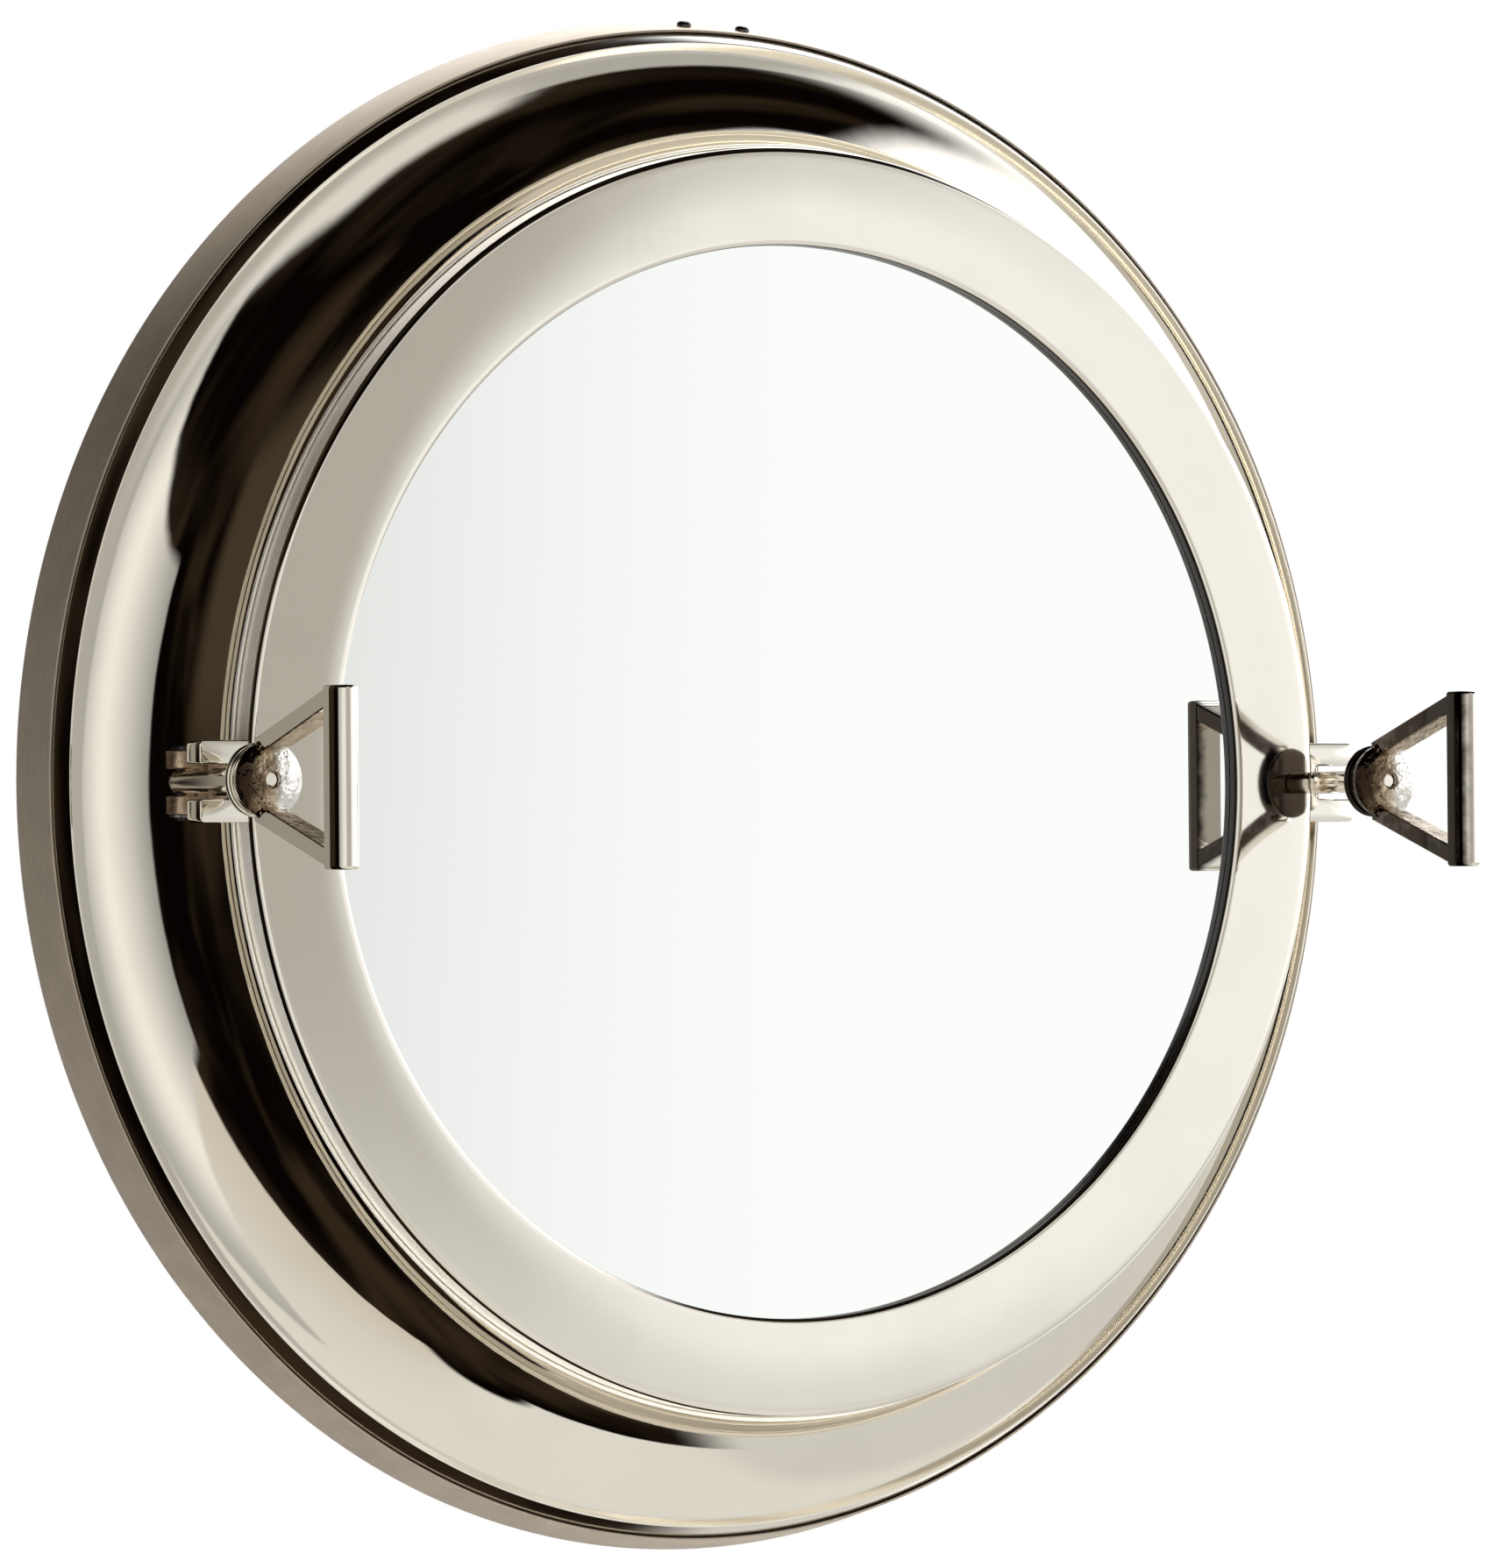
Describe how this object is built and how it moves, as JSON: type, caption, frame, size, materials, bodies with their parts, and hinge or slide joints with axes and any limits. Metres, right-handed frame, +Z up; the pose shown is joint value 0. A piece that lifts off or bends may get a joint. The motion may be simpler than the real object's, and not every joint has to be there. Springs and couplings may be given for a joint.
{
  "type": "porthole mirror",
  "caption": "Round nickel porthole with a mirror glass in a raised ring, held to its coved base by two swing-bolt dogs with stirrup wing nuts.",
  "frame": {"origin": "centre of the back, on the wall plane", "axes": "+Z up, -Y out of the wall towards the viewer, +X to the viewer's right; the ring's axis is Y"},
  "size_m": [0.608, 0.1785, 0.6081],
  "materials": {
    "polished_nickel": "hand-polished warm nickel plate",
    "satin_nickel": "brushed round the rim, satin",
    "cast_nickel": "nickel-plated casting, polished outside and rough inside",
    "mirror": "silvered 4 mm glass",
    "dark_steel": "blackened steel",
    "zinc_plate": "zinc plated",
    "hardboard": "bare hardboard",
    "foam_tape": "closed-cell foam"
  },
  "bodies": {
    "frame": {"side_band": "satin_nickel", "dish": "polished_nickel", "backing_board": "hardboard", "backing_screw_1": "zinc_plate", "backing_screw_2": "zinc_plate", "backing_screw_3": "zinc_plate", "backing_screw_4": "zinc_plate", "backing_screw_5": "zinc_plate", "backing_screw_6": "zinc_plate", "backing_screw_7": "zinc_plate", "backing_screw_8": "zinc_plate", "hanging_bracket": "zinc_plate", "hanger_screw_left": "dark_steel", "hanger_screw_right": "dark_steel", "hanger_nut_left": "zinc_plate", "hanger_nut_right": "zinc_plate", "left_bolt_clevis": "cast_nickel", "left_pivot_pin": "dark_steel", "left_pin_clip": "zinc_plate", "right_bolt_clevis": "cast_nickel", "right_pivot_pin": "dark_steel", "right_pin_clip": "zinc_plate"},
    "glazed_ring": {"front_ring": "polished_nickel", "mirror_glass": "mirror", "foam_tape": "foam_tape", "glass_backing": "hardboard", "glass_clip_1": "zinc_plate", "glass_clip_2": "zinc_plate", "glass_clip_3": "zinc_plate", "glass_clip_4": "zinc_plate", "clip_screw_1": "zinc_plate", "clip_screw_2": "zinc_plate", "clip_screw_3": "zinc_plate", "clip_screw_4": "zinc_plate", "left_fork_lug": "polished_nickel", "right_fork_lug": "polished_nickel"},
    "left_bolt": {"left_swing_bolt": "polished_nickel"},
    "left_washer": {"left_washer": "polished_nickel"},
    "left_nut": {"left_wing_nut": "cast_nickel"},
    "right_bolt": {"right_swing_bolt": "polished_nickel"},
    "right_washer": {"right_washer": "polished_nickel"},
    "right_nut": {"right_wing_nut": "cast_nickel"}
  },
  "joints": [
    {"name": "ring_lift", "type": "slide", "parent": "frame", "child": "glazed_ring", "axis": [0, -1, 0], "range_m": [0, 0.022]},
    {"name": "left_bolt_swing", "type": "hinge", "parent": "frame", "child": "left_bolt", "pos_m": [-0.2613, -0.052, 0], "axis": [0, 0, -1], "range_deg": [0, 95]},
    {"name": "left_washer_travel", "type": "slide", "parent": "left_bolt", "child": "left_washer", "axis": [0, -1, 0], "range_m": [0, 0.00801]},
    {"name": "left_nut_spin", "type": "hinge", "parent": "left_washer", "child": "left_nut", "pos_m": [-0.2613, -0.1115, 0], "axis": [0, -1, 0], "range_deg": [0, 2880]},
    {"name": "right_bolt_swing", "type": "hinge", "parent": "frame", "child": "right_bolt", "pos_m": [0.2613, -0.052, 0], "axis": [0, 0, 1], "range_deg": [0, 95]},
    {"name": "right_washer_travel", "type": "slide", "parent": "right_bolt", "child": "right_washer", "axis": [0, -1, 0], "range_m": [0, 0.00801]},
    {"name": "right_nut_spin", "type": "hinge", "parent": "right_washer", "child": "right_nut", "pos_m": [0.2613, -0.1115, 0], "axis": [0, -1, 0], "range_deg": [0, 2880]}
  ],
  "couplings": [
    {"joint": "left_washer_travel", "follows": "left_nut_spin", "m_per_rad": 0.00015915},
    {"joint": "right_washer_travel", "follows": "right_nut_spin", "m_per_rad": 0.00015915}
  ]
}
